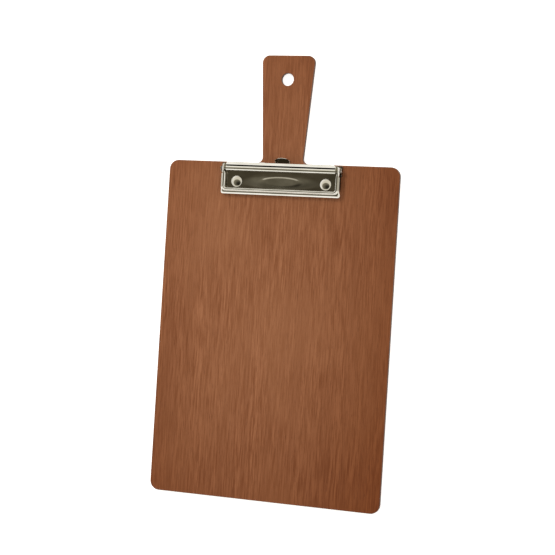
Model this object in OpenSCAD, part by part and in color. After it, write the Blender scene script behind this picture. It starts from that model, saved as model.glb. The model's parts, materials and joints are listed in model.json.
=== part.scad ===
// Clipboard with a long handle and a riveted low-profile spring clip.
// Lies flat on its back: X is the width, Y runs toward the handle, Z is up.
// Origin: middle of the outline on the back face. Units: millimetres.

/* [Board] */
// Width of the writing board
board_w = 230; // [210:1:250]
// Length of the writing board without the handle
board_l = 320; // [300:1:350]
// Thickness of the board
board_t = 4; // [3.5:0.1:6]
// Radius of the four board corners
board_r = 9; // [3:0.5:15]

/* [Handle] */
// Length of the handle beyond the board's top edge
handle_l = 102.2; // [70:0.1:130]
// Width of the handle at its free end
handle_w_top = 53.26; // [42:0.01:70]
// Width of the handle where it meets the board
handle_w_root = 39.84; // [30:0.01:42]
// Radius of the two free corners of the handle
handle_r = 7; // [2:0.5:15]
// Radius of the inside corners between handle and board
root_r = 5; // [1:0.5:12]
// Diameter of the hanging hole
hole_d = 11.8; // [6:0.1:16]
// Distance of the hanging hole from the handle's free end
hole_inset = 22.8; // [15:0.1:40]
// Edge rounding of the hanging hole
hole_round = 0.6; // [0.2:0.1:1.2]

/* [Clip base] */
// Overall width of the base plate
base_w = 120; // [119.6:0.1:122]
// Sheet thickness of the clip
sheet_t = 0.7; // [0.6:0.05:0.7]
// Air gap between the base plate and the board, for the hanging tab
base_gap = 0.7; // [0.65:0.05:0.7]
// Front edge of the base plate, measured back from the board's top edge
base_front = 27.6; // [27:0.1:28]
// Rear edge of the base plate, measured back from the board's top edge
base_rear = 1; // [0.5:0.1:2]
// Length of the raised oval in the middle of the base
oval_l = 42.4; // [30:0.1:50]
// Width of the raised oval
oval_w = 10.8; // [9:0.1:12]
// Distance of the oval's middle from the board's top edge
oval_back = 17.3; // [16.5:0.1:18]
// Height of the raised oval above the sheet
oval_h = 0.6; // [0.3:0.05:0.8]

/* [Clip jaw] */
// Width of the thumb lever and its rolled barrel
lever_w = 111; // [108:0.1:112.4]
// Width over the front lip of the jaw
lip_w = 121; // [120:0.1:123]
// Width of the rounded bead around the jaw window
bead_w = 3.4; // [3:0.1:3.6]
// Front face of the lip, measured back from the board's top edge
lip_front = 30.9; // [30.5:0.1:31.5]
// Bend radius of the front lip
lip_r = 2.3; // [1.8:0.1:2.4]
// Gap between the closed lip and the board
lip_gap = 0.15; // [0.05:0.05:0.5]
// Rise of the thumb flap out of the board plane, in degrees
flap_a = 32; // [28:1:40]
// Outside radius of the rolled barrel
barrel_r = 2.6; // [2.5:0.05:2.7]

/* [Hinge] */
// Distance of the hinge axis from the board's top edge
hinge_back = 6.4; // [6:0.1:6.5]
// Height of the hinge axis above the board face
hinge_h = 4.3; // [4.2:0.1:5]
// Diameter of the hinge pin
pin_d = 1.8; // [1.6:0.1:1.8]
// Radial running clearance of the jaw on the pin
pin_fit = 0.05; // [0.02:0.01:0.1]
// Wire diameter of the torsion springs
wire_d = 0.7; // [0.5:0.05:0.7]
// Turns of each torsion spring
turns = 9; // [5:1:14]
// Distance of each spring from the middle of the pin
spring_x = 30; // [15:1:45]

/* [Rivets] */
// Distance of each rivet from the middle of the clip
rivet_x = 44.4; // [35:0.1:48]
// Distance of the rivets from the board's top edge
rivet_back = 18.7; // [17:0.1:19]
// Diameter of the rivet heads
head_d = 10.7; // [8:0.1:11]
// Height of the rivet heads
head_h = 1.7; // [1:0.1:2]
// Shank diameter of the rivets
shank_d = 4; // [3:0.1:4.5]
// Outside diameter of the washers at the back
washer_d = 9.5; // [8.5:0.1:11]

/* [Hanging tab] */
// Width of the sliding hanging tab
tab_w = 14.6; // [12:0.1:16]
// How far the tab stands beyond the board's top edge when pushed in
tab_out = 5; // [4.5:0.1:6.5]
// Diameter of the eye in the tab
eye_d = 5; // [3:0.1:6]

/* [Hidden] */
$fn = 64;
t = sheet_t;
seam = 0.2;
total_l = board_l + handle_l;
y_low = -total_l / 2;
y_top = y_low + board_l;
y_end = y_low + total_l;
z_face = board_t;

// handle taper: the free corners and the root corners touch the slanted side
taper = (handle_w_top - handle_w_root) / 2 / handle_l;
ta = atan(taper);
hr_y = handle_l - handle_r;
hr_x = handle_w_root / 2 + taper * hr_y - handle_r / cos(ta);
rr_x = handle_w_root / 2 + taper * root_r + root_r / cos(ta);
hole_y = y_end - hole_inset;
hole_r = hole_d / 2;

// base plate: a sheet raised off the board, with a ramp along the front
z_under = z_face + base_gap;
z_floor = z_under + t;
y_bf = y_top - base_front;
y_br = y_top - base_rear;
ramp_l = 3.4;
floor_w = 115;
skirt_y = y_bf + ramp_l + 1.7;
oval_y = y_top - oval_back;
rib_in = 0.3;
rib_front = y_top - 12;
collar_r = 3.6;

// hinge
hy = y_top - hinge_back;
hz = z_face + hinge_h;
pin_r = pin_d / 2;
wire_r = wire_d / 2;
coil_r = pin_r + 0.1 + wire_r;
barrel_in = barrel_r - t;
barrel_end_a = 220;
flap_off = coil_r - wire_r - 0.03 - t / 2;
flap_end = 6.2;
pin_head_r = 1.8;
pin_head = 0.5;
ear_x = base_w / 2 - t;
ear_r = 2.2;
ear_front = y_top - 10.6;
ear_rear = y_top - 4;
ear_land_y = ear_front - 0.6;
ear_bend = 1.2;

// jaw: bead around the window, web and lip in front of it
wall_x = lever_w / 2 - t;
bead_r = bead_w / 2;
arm_x = wall_x + bead_r;
bead_z = z_face + 4.7;
leg_z = z_floor + 0.7;
web_top = z_face + 4.9;
lip_y = y_top - lip_front;
lip_z = z_face + lip_gap;
lip_corner = 3;
lip_side_y = y_top - 25.2;
side_x = base_w / 2;
side_end_y = y_top - 11.8;
bar_y = lip_y + lip_r + 0.65 + bead_r;
corner_r = 3.5;
arm_end_y = y_top - 9.8;

// rivets
ry = y_top - rivet_back;
shank_r = shank_d / 2;
hole_fit = 0.1;
head_edge = 0.4;
tail_z = 0.25;
washer_z = 0.9;
washer_t = 0.8;
bore_depth = washer_z + washer_t;
bore_r = washer_d / 2 + 0.45;

// hanging tab
tab_z = z_face + 0.1;
tab_t = 0.5;
tab_head_w = 22;
tab_head_l = 2;
tab_head_y = y_top - 23.4;
tab_tip_y = y_top + tab_out;
tab_arch_r = 13;
arch_y = tab_tip_y - tab_arch_r;
rim_w = 0.8;
rim_h = 1.6;
rim_back = 3.2;
eye_y = y_top - 4;

c_wood = [0.55, 0.33, 0.2];
c_chrome = [0.78, 0.78, 0.76];
c_plate = [0.7, 0.7, 0.68];
c_steel = [0.6, 0.6, 0.62];
c_spring = [0.35, 0.36, 0.38];

// ---------- helpers ----------

// extrude a (y, z) outline along X from x0 to x1
module along_x(x0, x1) {
  translate([x0, 0, 0])
    rotate([90, 0, 90])
      linear_extrude(height = x1 - x0)
        children();
}

// the shape and its mirror image across the middle
module both_sides() {
  children();
  mirror([1, 0, 0]) children();
}

// rounded rectangle outline from corner (x0, y0) to (x1, y1)
module round_rect(x0, y0, x1, y1, r) {
  translate([x0 + r, y0]) square([x1 - x0 - 2 * r, y1 - y0]);
  translate([x0, y0 + r]) square([x1 - x0, y1 - y0 - 2 * r]);
  for (x = [x0 + r, x1 - r])
    for (y = [y0 + r, y1 - r])
      translate([x, y]) circle(r = r);
}

// oval outline with round ends, length l and width w
module oval(l, w) {
  translate([-(l - w) / 2, -w / 2]) square([l - w, w]);
  for (s = [-1, 1])
    translate([s * (l - w) / 2, 0]) circle(d = w);
}

// ---------- board ----------

// slanted sides and round free corners of the handle, from the board's top edge
module handle_outline() {
  cx = hr_x + handle_r * cos(ta);
  cy = hr_y - handle_r * sin(ta);
  w = handle_w_root / 2;
  polygon([[-w, -20], [w, -20], [w, 0], [cx, cy], [hr_x, handle_l],
           [-hr_x, handle_l], [-cx, cy], [-w, 0]]);
  for (s = [-1, 1])
    translate([s * hr_x, hr_y]) circle(r = handle_r);
}

// hollow inside corner between the handle and the board
module root_corner() {
  inner = handle_w_root / 2 - 3;
  difference() {
    polygon([[inner, -2],
             [rr_x, -2],
             [rr_x, root_r],
             [rr_x - root_r * cos(ta), root_r * (1 + sin(ta))],
             [inner, root_r]]);
    translate([rr_x, root_r]) circle(r = root_r);
  }
}

module board_outline() {
  round_rect(-board_w / 2, y_low, board_w / 2, y_top, board_r);
  translate([0, y_top]) {
    handle_outline();
    both_sides() root_corner();
  }
}

// the hanging hole with rounded edges, as a solid to cut away
module hole_cutter() {
  rotate_extrude()
    difference() {
      translate([0, -1]) square([hole_r + hole_round, board_t + 2]);
      translate([hole_r, hole_round])
        square([hole_round + 1, board_t - 2 * hole_round]);
      for (z = [hole_round, board_t - hole_round])
        translate([hole_r + hole_round, z]) circle(r = hole_round);
    }
}

module board() {
  color(c_wood)
    difference() {
      linear_extrude(height = board_t) board_outline();
      translate([0, hole_y, 0]) hole_cutter();
      for (s = [-1, 1])
        translate([s * rivet_x, ry, -1]) {
          cylinder(r = shank_r + hole_fit, h = board_t + 2);
          cylinder(r = bore_r, h = bore_depth + 1);
        }
    }
}

// ---------- clip base ----------

// section of the sheet along Y: ramp at the front, then flat
module base_section() {
  polygon([[y_bf, z_face],
           [y_bf + 1, z_face],
           [y_bf + ramp_l + 0.3, z_under],
           [y_br, z_under],
           [y_br, z_floor],
           [y_bf + ramp_l, z_floor],
           [y_bf, z_face + 0.5]]);
}

// side view of an ear: low at the front, round over the hinge pin
module ear_outline() {
  polygon([[ear_front, z_face],
           [ear_rear, z_face],
           [ear_rear, z_floor + 0.6],
           [hy + ear_r * cos(20), hz + ear_r * sin(20)],
           [hy, hz],
           [hy - ear_r * cos(30), hz + ear_r * sin(30)],
           [ear_front, z_floor + 1]]);
  translate([hy, hz]) circle(r = ear_r);
}

// rounded inside bend between the floor and an ear
module ear_root() {
  translate([ear_x - ear_bend, ear_rear, z_floor - seam])
    rotate([90, 0, 0])
      linear_extrude(height = ear_rear - ear_front)
        difference() {
          square([ear_bend + seam, ear_bend + seam]);
          translate([0, ear_bend + seam]) circle(r = ear_bend);
        }
}

module base_plate() {
  color(c_plate)
    difference() {
      union() {
        intersection() {
          along_x(-base_w / 2, base_w / 2) base_section();
          linear_extrude(height = 2 * z_floor) {
            round_rect(-floor_w / 2, y_bf, floor_w / 2, y_br, 1.8);
            round_rect(-base_w / 2, ear_land_y, base_w / 2, y_br, 1.5);
          }
        }
        both_sides() {
          along_x(ear_x, ear_x + t) ear_outline();
          ear_root();
          translate([floor_w / 2 - t, skirt_y, z_face])
            cube([t, y_br - skirt_y - 2, z_floor - z_face]);
          translate([tab_w / 2 + rib_in, rib_front, z_face])
            cube([t, y_br - rib_front, z_floor - z_face]);
          translate([rivet_x, ry, z_face])
            cylinder(r = collar_r, h = base_gap + t);
        }
        translate([0, oval_y, z_under])
          linear_extrude(height = t + oval_h) oval(oval_l, oval_w);
      }
      translate([0, oval_y, z_face - 1])
        linear_extrude(height = 1 + base_gap + oval_h)
          oval(oval_l - 2 * t, oval_w - 2 * t);
      both_sides() {
        translate([rivet_x, ry, z_face - 1])
          cylinder(r = shank_r + hole_fit, h = base_gap + t + 2);
        along_x(ear_x - 1, ear_x + t + 1)
          translate([hy, hz]) circle(r = pin_r + 0.02);
      }
    }
}

// ---------- rivets ----------

// domed head, plain shank, flared tail at the back
module rivet() {
  dome = head_h - head_edge;
  cap_r = (pow(head_d / 2, 2) + dome * dome) / (2 * dome);
  translate([0, 0, z_floor])
    rotate_extrude()
      intersection() {
        square([head_d / 2, head_h]);
        translate([0, head_h - cap_r]) circle(r = cap_r, $fn = 180);
      }
  translate([0, 0, tail_z + 0.2])
    cylinder(r = shank_r, h = z_floor);
  translate([0, 0, tail_z])
    cylinder(r = shank_r + 1.1, h = 0.35);
  translate([0, 0, tail_z + 0.35])
    cylinder(r1 = shank_r + 1.1, r2 = shank_r, h = washer_z - tail_z - 0.35);
}

module rivet_left() {
  color(c_chrome) translate([-rivet_x, ry, 0]) rivet();
}

module rivet_right() {
  color(c_chrome) translate([rivet_x, ry, 0]) rivet();
}

module washer() {
  translate([0, 0, washer_z])
    difference() {
      cylinder(d = washer_d, h = washer_t);
      translate([0, 0, -1]) cylinder(r = shank_r + hole_fit, h = washer_t + 2);
    }
}

module rivet_washer_left() {
  color(c_steel) translate([-rivet_x, ry, 0]) washer();
}

module rivet_washer_right() {
  color(c_steel) translate([rivet_x, ry, 0]) washer();
}

// ---------- hinge ----------

// plain pin with a domed head outside each ear
module hinge_pin() {
  half = base_w / 2 + 0.05;
  dome_r = (pin_head_r * pin_head_r + pin_head * pin_head) / (2 * pin_head);
  color(c_steel)
    translate([0, hy, hz]) {
      rotate([0, 90, 0])
        translate([0, 0, -half]) cylinder(r = pin_r, h = 2 * half);
      both_sides()
        translate([half, 0, 0]) rotate([0, 90, 0])
          rotate_extrude()
            intersection() {
              square([pin_head_r, pin_head]);
              translate([0, pin_head - dome_r]) circle(r = dome_r, $fn = 120);
            }
    }
}

// ---------- clamp jaw ----------

// section of the bead: half-round top with two short legs
module bead_section() {
  difference() {
    union() {
      translate([0, bead_z]) circle(r = bead_r);
      translate([-bead_r, leg_z]) square([bead_w, bead_z - leg_z]);
    }
    translate([0, bead_z]) circle(r = bead_r - t);
    translate([-bead_r + t, leg_z - 1])
      square([bead_w - 2 * t, bead_z - leg_z + 1]);
  }
}

module bead_half_section() {
  intersection() {
    bead_section();
    square([bead_r, 2 * bead_z]);
  }
}

// bead running round three sides of the window, closed at both rear ends
module bead_frame() {
  bar_x = arm_x - corner_r;
  along_x(-bar_x, bar_x) translate([bar_y, 0]) bead_section();
  both_sides() {
    translate([bar_x, bar_y + corner_r, 0])
      rotate([0, 0, -90])
        rotate_extrude(angle = 90) translate([corner_r, 0]) bead_section();
    translate([arm_x, arm_end_y, 0])
      rotate([90, 0, 0])
        linear_extrude(height = arm_end_y - bar_y - corner_r) bead_section();
    translate([arm_x, arm_end_y, 0])
      rotate_extrude(angle = 180) bead_half_section();
  }
}

// section of the lip: x = 0 is the outside face, bend at the top
module lip_section() {
  bend_z = web_top - lip_r;
  translate([0, lip_z]) square([t, bend_z - lip_z]);
  translate([lip_r - 0.01, web_top - t]) square([seam, t]);
  intersection() {
    translate([lip_r, bend_z]) difference() {
      circle(r = lip_r);
      circle(r = lip_r - t);
    }
    translate([0, bend_z]) square([lip_r, lip_r]);
  }
}

// lip bent down along the front edge, round both corners and along both arms
module lip() {
  lx = lip_w / 2;
  along_x(-lx + lip_corner, lx - lip_corner)
    translate([lip_y, 0]) lip_section();
  both_sides() {
    translate([lx - lip_corner, lip_y + lip_corner, 0])
      rotate([0, 0, -90])
        rotate_extrude(angle = 90)
          translate([lip_corner, 0]) mirror([1, 0]) lip_section();
    translate([lx, lip_side_y, 0])
      rotate([90, 0, 0])
        linear_extrude(height = lip_side_y - lip_y - lip_corner)
          mirror([1, 0]) lip_section();
    translate([side_x, side_end_y, 0])
      rotate([90, 0, 0])
        linear_extrude(height = side_end_y - lip_side_y + seam)
          mirror([1, 0]) lip_section();
  }
}

// flat web that joins the lip to the outer side of the bead
module web() {
  wx = lip_w / 2 - lip_r;
  hole_x = arm_x + bead_r - seam;
  hole_y0 = bar_y - bead_r + seam;
  translate([0, 0, web_top - t])
    linear_extrude(height = t)
      difference() {
        union() {
          translate([-wx, lip_y + lip_corner])
            square([2 * wx, lip_side_y - lip_y - lip_corner]);
          round_rect(-wx, lip_y + lip_r, wx,
                     lip_y + lip_corner + 3, lip_corner - lip_r);
        }
        round_rect(-hole_x, hole_y0, hole_x, hole_y0 + 30,
                   corner_r + bead_r - seam);
        translate([-wx - 1, lip_side_y]) square([2 * wx + 2, 10]);
      }
}

// rolled barrel and thumb flap, as a sheet section around the pin
module lever_section() {
  difference() {
    circle(r = barrel_r);
    circle(r = barrel_in);
    polygon([[0, 0],
             [8 * cos(barrel_end_a), 8 * sin(barrel_end_a)],
             [8 * cos(barrel_end_a), -9],
             [9, -9],
             [9, 9 * tan(flap_a - 17)]]);
  }
  rotate(flap_a) {
    translate([barrel_in, -flap_off - t / 2]) square([flap_end - barrel_in, t]);
    translate([flap_end, -flap_off]) circle(r = t / 2);
  }
}

// end wall folded down from the lever, carrying the pin hole
module wall_outline() {
  difference() {
    union() {
      circle(r = barrel_r);
      polygon([[-7.9, leg_z - hz],
               [-7.9, bead_z + 1.2 - hz],
               [-2.2, 1.4],
               [0, 0],
               [-1.5, leg_z - hz]]);
      rotate(flap_a)
        polygon([[0, 0],
                 [0.5, 1.2],
                 [3, -flap_off],
                 [flap_end, -flap_off],
                 [flap_end, -flap_off - 1.1],
                 [4.2, -2.1],
                 [1, -2.3]]);
    }
    circle(r = pin_r + pin_fit);
  }
}

module clamp_jaw() {
  color(c_chrome) {
    bead_frame();
    lip();
    web();
    translate([0, hy, hz]) {
      along_x(-lever_w / 2, lever_w / 2) lever_section();
      both_sides() along_x(wall_x, wall_x + t) wall_outline();
    }
  }
}

// ---------- torsion springs ----------

// close-wound coil on the pin; one leg under the flap, one on the base
module spring() {
  pitch = wire_d - 0.05;
  len = (turns - 1) * pitch;
  base_leg_a = 28;
  base_leg = (hz - z_floor - wire_r - 0.05 - coil_r * cos(base_leg_a))
             / sin(base_leg_a);
  rotate([0, 90, 0])
    rotate_extrude()
      for (i = [0 : turns - 1])
        translate([coil_r, i * pitch - len / 2]) circle(r = wire_r, $fn = 24);
  translate([len / 2, 0, 0])
    rotate([flap_a, 0, 0])
      translate([0, 0, -coil_r])
        rotate([-90, 0, 0]) cylinder(r = wire_r, h = flap_end - 1, $fn = 24);
  translate([-len / 2, 0, 0])
    rotate([base_leg_a, 0, 0])
      translate([0, 0, -coil_r])
        rotate([90, 0, 0]) cylinder(r = wire_r, h = base_leg, $fn = 24);
}

module torsion_spring_left() {
  color(c_spring)
    translate([-spring_x, hy, hz]) mirror([1, 0, 0]) spring();
}

module torsion_spring_right() {
  color(c_spring) translate([spring_x, hy, hz]) spring();
}

// ---------- hanging tab ----------

// flat outline of the tab with its arched tip, made smaller all round by inset
module tab_outline(inset) {
  w = tab_w - 2 * inset;
  translate([-w / 2, tab_head_y]) square([w, arch_y - tab_head_y]);
  intersection() {
    translate([-w / 2, arch_y - 1]) square([w, tab_arch_r + 1]);
    translate([0, arch_y]) circle(r = tab_arch_r - inset, $fn = 180);
  }
}

module hanging_tab() {
  color(c_chrome)
    translate([0, 0, tab_z]) {
      difference() {
        linear_extrude(height = tab_t) {
          tab_outline(0);
          translate([-tab_head_w / 2, tab_head_y])
            square([tab_head_w, tab_head_l]);
        }
        translate([0, eye_y, -1]) cylinder(d = eye_d, h = tab_t + 2);
      }
      linear_extrude(height = tab_t + rim_h)
        difference() {
          tab_outline(0);
          tab_outline(rim_w);
          translate([-tab_w, tab_head_y - 1])
            square([2 * tab_w, tab_tip_y - rim_back - tab_head_y + 1]);
        }
    }
}

board();
base_plate();
rivet_left();
rivet_right();
rivet_washer_left();
rivet_washer_right();
hinge_pin();
clamp_jaw();
torsion_spring_left();
torsion_spring_right();
hanging_tab();
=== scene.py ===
import json
import math

import bmesh
import bpy
from mathutils import Matrix, Vector


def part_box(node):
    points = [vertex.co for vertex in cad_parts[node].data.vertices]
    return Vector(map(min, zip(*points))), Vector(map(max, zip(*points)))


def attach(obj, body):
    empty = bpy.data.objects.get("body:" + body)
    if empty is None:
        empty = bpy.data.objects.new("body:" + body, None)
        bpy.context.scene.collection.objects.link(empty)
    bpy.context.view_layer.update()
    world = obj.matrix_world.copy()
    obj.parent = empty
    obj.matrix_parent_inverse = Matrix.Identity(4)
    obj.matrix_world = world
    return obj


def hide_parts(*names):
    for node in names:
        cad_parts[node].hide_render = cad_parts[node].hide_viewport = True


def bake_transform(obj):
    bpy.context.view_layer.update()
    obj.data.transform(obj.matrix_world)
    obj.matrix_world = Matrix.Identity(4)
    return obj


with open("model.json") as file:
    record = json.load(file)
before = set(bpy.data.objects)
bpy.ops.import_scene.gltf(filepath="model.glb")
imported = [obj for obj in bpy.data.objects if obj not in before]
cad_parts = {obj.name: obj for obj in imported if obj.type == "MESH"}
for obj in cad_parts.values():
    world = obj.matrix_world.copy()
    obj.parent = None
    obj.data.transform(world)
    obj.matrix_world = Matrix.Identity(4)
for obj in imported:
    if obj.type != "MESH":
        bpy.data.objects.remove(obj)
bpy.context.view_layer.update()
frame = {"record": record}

MM = 0.001
RECORD = frame["record"]


def box_mm(node):
    """Lowest and highest corner of a CAD node, in millimetres."""
    low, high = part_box(node)
    return [c / MM for c in low], [c / MM for c in high]


# ---------- sizes taken from the frame ----------

BOARD_LOW, BOARD_HIGH = box_mm("board")
BASE_LOW, BASE_HIGH = box_mm("base_plate")
JAW_LOW, JAW_HIGH = box_mm("clamp_jaw")
RIVET_LOW, RIVET_HIGH = box_mm("rivet_right")
WASHER_LOW, WASHER_HIGH = box_mm("rivet_washer_right")
PIN_HIGH = box_mm("hinge_pin")[1]
TAB_LOW, TAB_HIGH = box_mm("hanging_tab")

HINGE_JOINT = next(j for j in RECORD["behaviour"]["joints"] if j["name"] == "jaw_hinge")
HINGE_Y, HINGE_Z = (c / MM for c in HINGE_JOINT["pos_m"][1:])
HOLE = next(m for m in RECORD["mounts"] if m["name"] == "hanging_hole")
HOLE_Y = HOLE["pos_m"][1] / MM
HOLE_R = HOLE["dims"]["r_mm"]

HALF_W = BOARD_HIGH[0]
Y_LOW, Y_END = BOARD_LOW[1], BOARD_HIGH[1]
Z_FACE = BOARD_HIGH[2]
RIVET_X = (RIVET_LOW[0] + RIVET_HIGH[0]) / 2
RIVET_Y = (RIVET_LOW[1] + RIVET_HIGH[1]) / 2
RIVET_HEAD_R = (RIVET_HIGH[0] - RIVET_LOW[0]) / 2

# ---------- sizes of the details ----------

BOARD_LENGTH = 320
BOARD_CORNER = 9
BOARD_EDGE = 0.7
HANDLE_ROOT_W = 39.84
HANDLE_END_W = 53.26
HANDLE_CORNER = 7
HANDLE_ROOT_R = 5
COUNTERBORE_FIT = 0.45
SHEET = 0.7
SHEET_EDGE = 0.12
FLOOR_Z = Z_FACE + 1.4
# lowest point of the metal that stands on the board, just clear of its face
SEAT_Z = Z_FACE + 0.02
SHANK_R = 2
SHANK_FIT = 0.1
PIN_R = 0.9
PIN_HOLE_R = PIN_R + 0.05
# the board's top edge, where the handle starts
Y_TOP = Y_LOW + BOARD_LENGTH


# ---------- mesh helpers ----------

WELD_WITHIN = 0.0005
BEVEL_ABOVE_DEG = 50
SMOOTH_BELOW_DEG = 35


def arc(cx, cy, r, start, end, steps):
    """Points on a circle from one angle to another, in degrees, ends included."""
    angles = [math.radians(start + (end - start) * i / steps) for i in range(steps + 1)]
    return [(cx + r * math.cos(a), cy + r * math.sin(a)) for a in angles]


def blend_in(x):
    """0 below 0, 1 above 1, and a smooth curve between."""
    x = max(0.0, min(1.0, x))
    return x * x * (3 - 2 * x)


def link(name, data):
    """A new object in the scene."""
    obj = bpy.data.objects.new(name, data)
    bpy.context.scene.collection.objects.link(obj)
    return obj


def mesh_piece(name, points, faces):
    """A mesh object from points in millimetres."""
    mesh = bpy.data.meshes.new(name)
    mesh.from_pydata([[c * MM for c in p] for p in points], [], faces)
    return link(name, mesh)


def settle(obj):
    """Makes an object's modifiers, or a curve's shape, its own mesh."""
    mesh = bpy.data.meshes.new_from_object(
        obj.evaluated_get(bpy.context.evaluated_depsgraph_get()))
    name = obj.name
    old = obj.data
    bpy.data.objects.remove(obj)
    if isinstance(old, bpy.types.Mesh):
        bpy.data.meshes.remove(old)
    else:
        bpy.data.curves.remove(old)
    return link(name, mesh)


def weld(obj):
    """Joins points that lie together and turns every face outward."""
    bm = bmesh.new()
    bm.from_mesh(obj.data)
    bmesh.ops.remove_doubles(bm, verts=bm.verts, dist=WELD_WITHIN * MM)
    bmesh.ops.recalc_face_normals(bm, faces=bm.faces)
    bm.to_mesh(obj.data)
    bm.free()
    return obj


def loft(name, rings, closed_rings=False, caps=False):
    """A surface through rings that all have the same number of points."""
    n = len(rings[0])
    points = [p for ring in rings for p in ring]
    across = n if closed_rings else n - 1
    faces = []
    for i in range(len(rings) - 1):
        for j in range(across):
            k = (j + 1) % n
            faces.append((i * n + j, i * n + k, (i + 1) * n + k, (i + 1) * n + j))
    if caps:
        faces.append(tuple(range(n - 1, -1, -1)))
        faces.append(tuple(range((len(rings) - 1) * n, len(rings) * n)))
    return mesh_piece(name, points, faces)


def face_up(obj):
    """Turns an open surface so that most of it faces up."""
    bm = bmesh.new()
    bm.from_mesh(obj.data)
    bm.normal_update()
    if sum(f.normal.z * f.calc_area() for f in bm.faces) < 0:
        bmesh.ops.reverse_faces(bm, faces=bm.faces)
    bm.to_mesh(obj.data)
    bm.free()


def sheet_metal(name, rows):
    """A bent sheet whose upper surface runs through rows of points."""
    obj = loft(name, rows)
    face_up(obj)
    solid = obj.modifiers.new("thickness", "SOLIDIFY")
    solid.thickness = SHEET * MM
    solid.offset = -1
    solid.use_even_offset = True
    round_edges(obj)
    return settle(obj)


def round_edges(obj):
    """Rounds the sharp edges of a piece of sheet."""
    bevel = obj.modifiers.new("edges", "BEVEL")
    bevel.width = SHEET_EDGE * MM
    bevel.segments = 2
    bevel.limit_method = "ANGLE"
    bevel.angle_limit = math.radians(BEVEL_ABOVE_DEG)


def plate(name, outlines, low, high, edge):
    """A flat plate with rounded edges; the first outline is its rim and the others are holes."""
    curve = bpy.data.curves.new(name, "CURVE")
    curve.dimensions = "2D"
    curve.fill_mode = "BOTH"
    curve.extrude = ((high - low) / 2 - edge) * MM
    curve.bevel_depth = edge * MM
    curve.bevel_resolution = 3
    curve.offset = -edge * MM
    for outline in outlines:
        spline = curve.splines.new("POLY")
        spline.points.add(len(outline) - 1)
        for point, (x, y) in zip(spline.points, outline):
            point.co = (x * MM, y * MM, 0, 1)
        spline.use_cyclic_u = True
    obj = settle(link(name, curve))
    obj.data.transform(Matrix.Translation((0, 0, (low + high) / 2 * MM)))
    return weld(obj)


def side_plate(name, outlines, x0, x1):
    """A wall of sheet that stands across X; its outlines are in Y and Z."""
    obj = plate(name, outlines, x0, x1, SHEET_EDGE)
    obj.data.transform(Matrix(((0, 0, 1, 0), (1, 0, 0, 0), (0, 1, 0, 0), (0, 0, 0, 1))))
    return obj


def lathe(name, profile, centre, axis="Z", steps=72):
    """A turned piece from a profile of (radius, height) points. A profile that does not end
    where it starts is closed by a flat at each end."""
    rings = []
    for r, h in profile:
        ring = []
        for i in range(steps):
            a = math.tau * i / steps
            if axis == "Z":
                p = (r * math.cos(a), r * math.sin(a), h)
            else:
                p = (h, r * math.cos(a), r * math.sin(a))
            ring.append([c + o for c, o in zip(p, centre)])
        rings.append(ring)
    closed = profile[0] == profile[-1]
    return weld(loft(name, rings, closed_rings=True, caps=not closed))


def wire(name, points, radius):
    """A round wire along points in millimetres, with closed ends."""
    curve = bpy.data.curves.new(name, "CURVE")
    curve.dimensions = "3D"
    curve.bevel_depth = radius * MM
    curve.bevel_resolution = 4
    curve.use_fill_caps = True
    spline = curve.splines.new("POLY")
    spline.points.add(len(points) - 1)
    for point, co in zip(spline.points, points):
        point.co = [c * MM for c in co] + [1]
    return weld(settle(link(name, curve)))


def mirrored(obj, name):
    """A copy of a piece on the other side of the middle."""
    copy = link(name, obj.data.copy())
    copy.data.transform(Matrix.Scale(-1, 4, (1, 0, 0)))
    copy.data.flip_normals()
    return copy


def join(name, parts):
    """One piece made of several closed shells."""
    bm = bmesh.new()
    for part in parts:
        bm.from_mesh(part.data)
    mesh = bpy.data.meshes.new(name)
    bm.to_mesh(mesh)
    bm.free()
    for part in parts:
        bpy.data.objects.remove(part)
    return link(name, mesh)


def cut_round(obj, centre, radius, low, high):
    """Cuts an upright round hole, from one height to another."""
    x, y = centre
    cutter = lathe("cutter", [(radius, low), (radius, high)], (x, y, 0), steps=48)
    hole = obj.modifiers.new("hole", "BOOLEAN")
    hole.object = cutter
    hole.operation = "DIFFERENCE"
    hole.solver = "EXACT"
    obj = settle(obj)
    bpy.data.objects.remove(cutter)
    return obj


def finish_piece(obj, material, body, slot, *nodes):
    """Shades a piece, gives it its material, fixes it to its body and hides the CAD nodes it
    stands for. The slot is not used. The body is None for a piece that is blended between two."""
    mesh = obj.data
    mesh.materials.clear()
    mesh.materials.append(material)
    mesh.shade_smooth()
    mesh.set_sharp_from_angle(angle=math.radians(SMOOTH_BELOW_DEG))
    normals = obj.modifiers.new("normals", "WEIGHTED_NORMAL")
    normals.keep_sharp = True
    if body is not None:
        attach(obj, body)
    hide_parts(*nodes)
    return obj


# ---------- material helpers ----------

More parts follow.
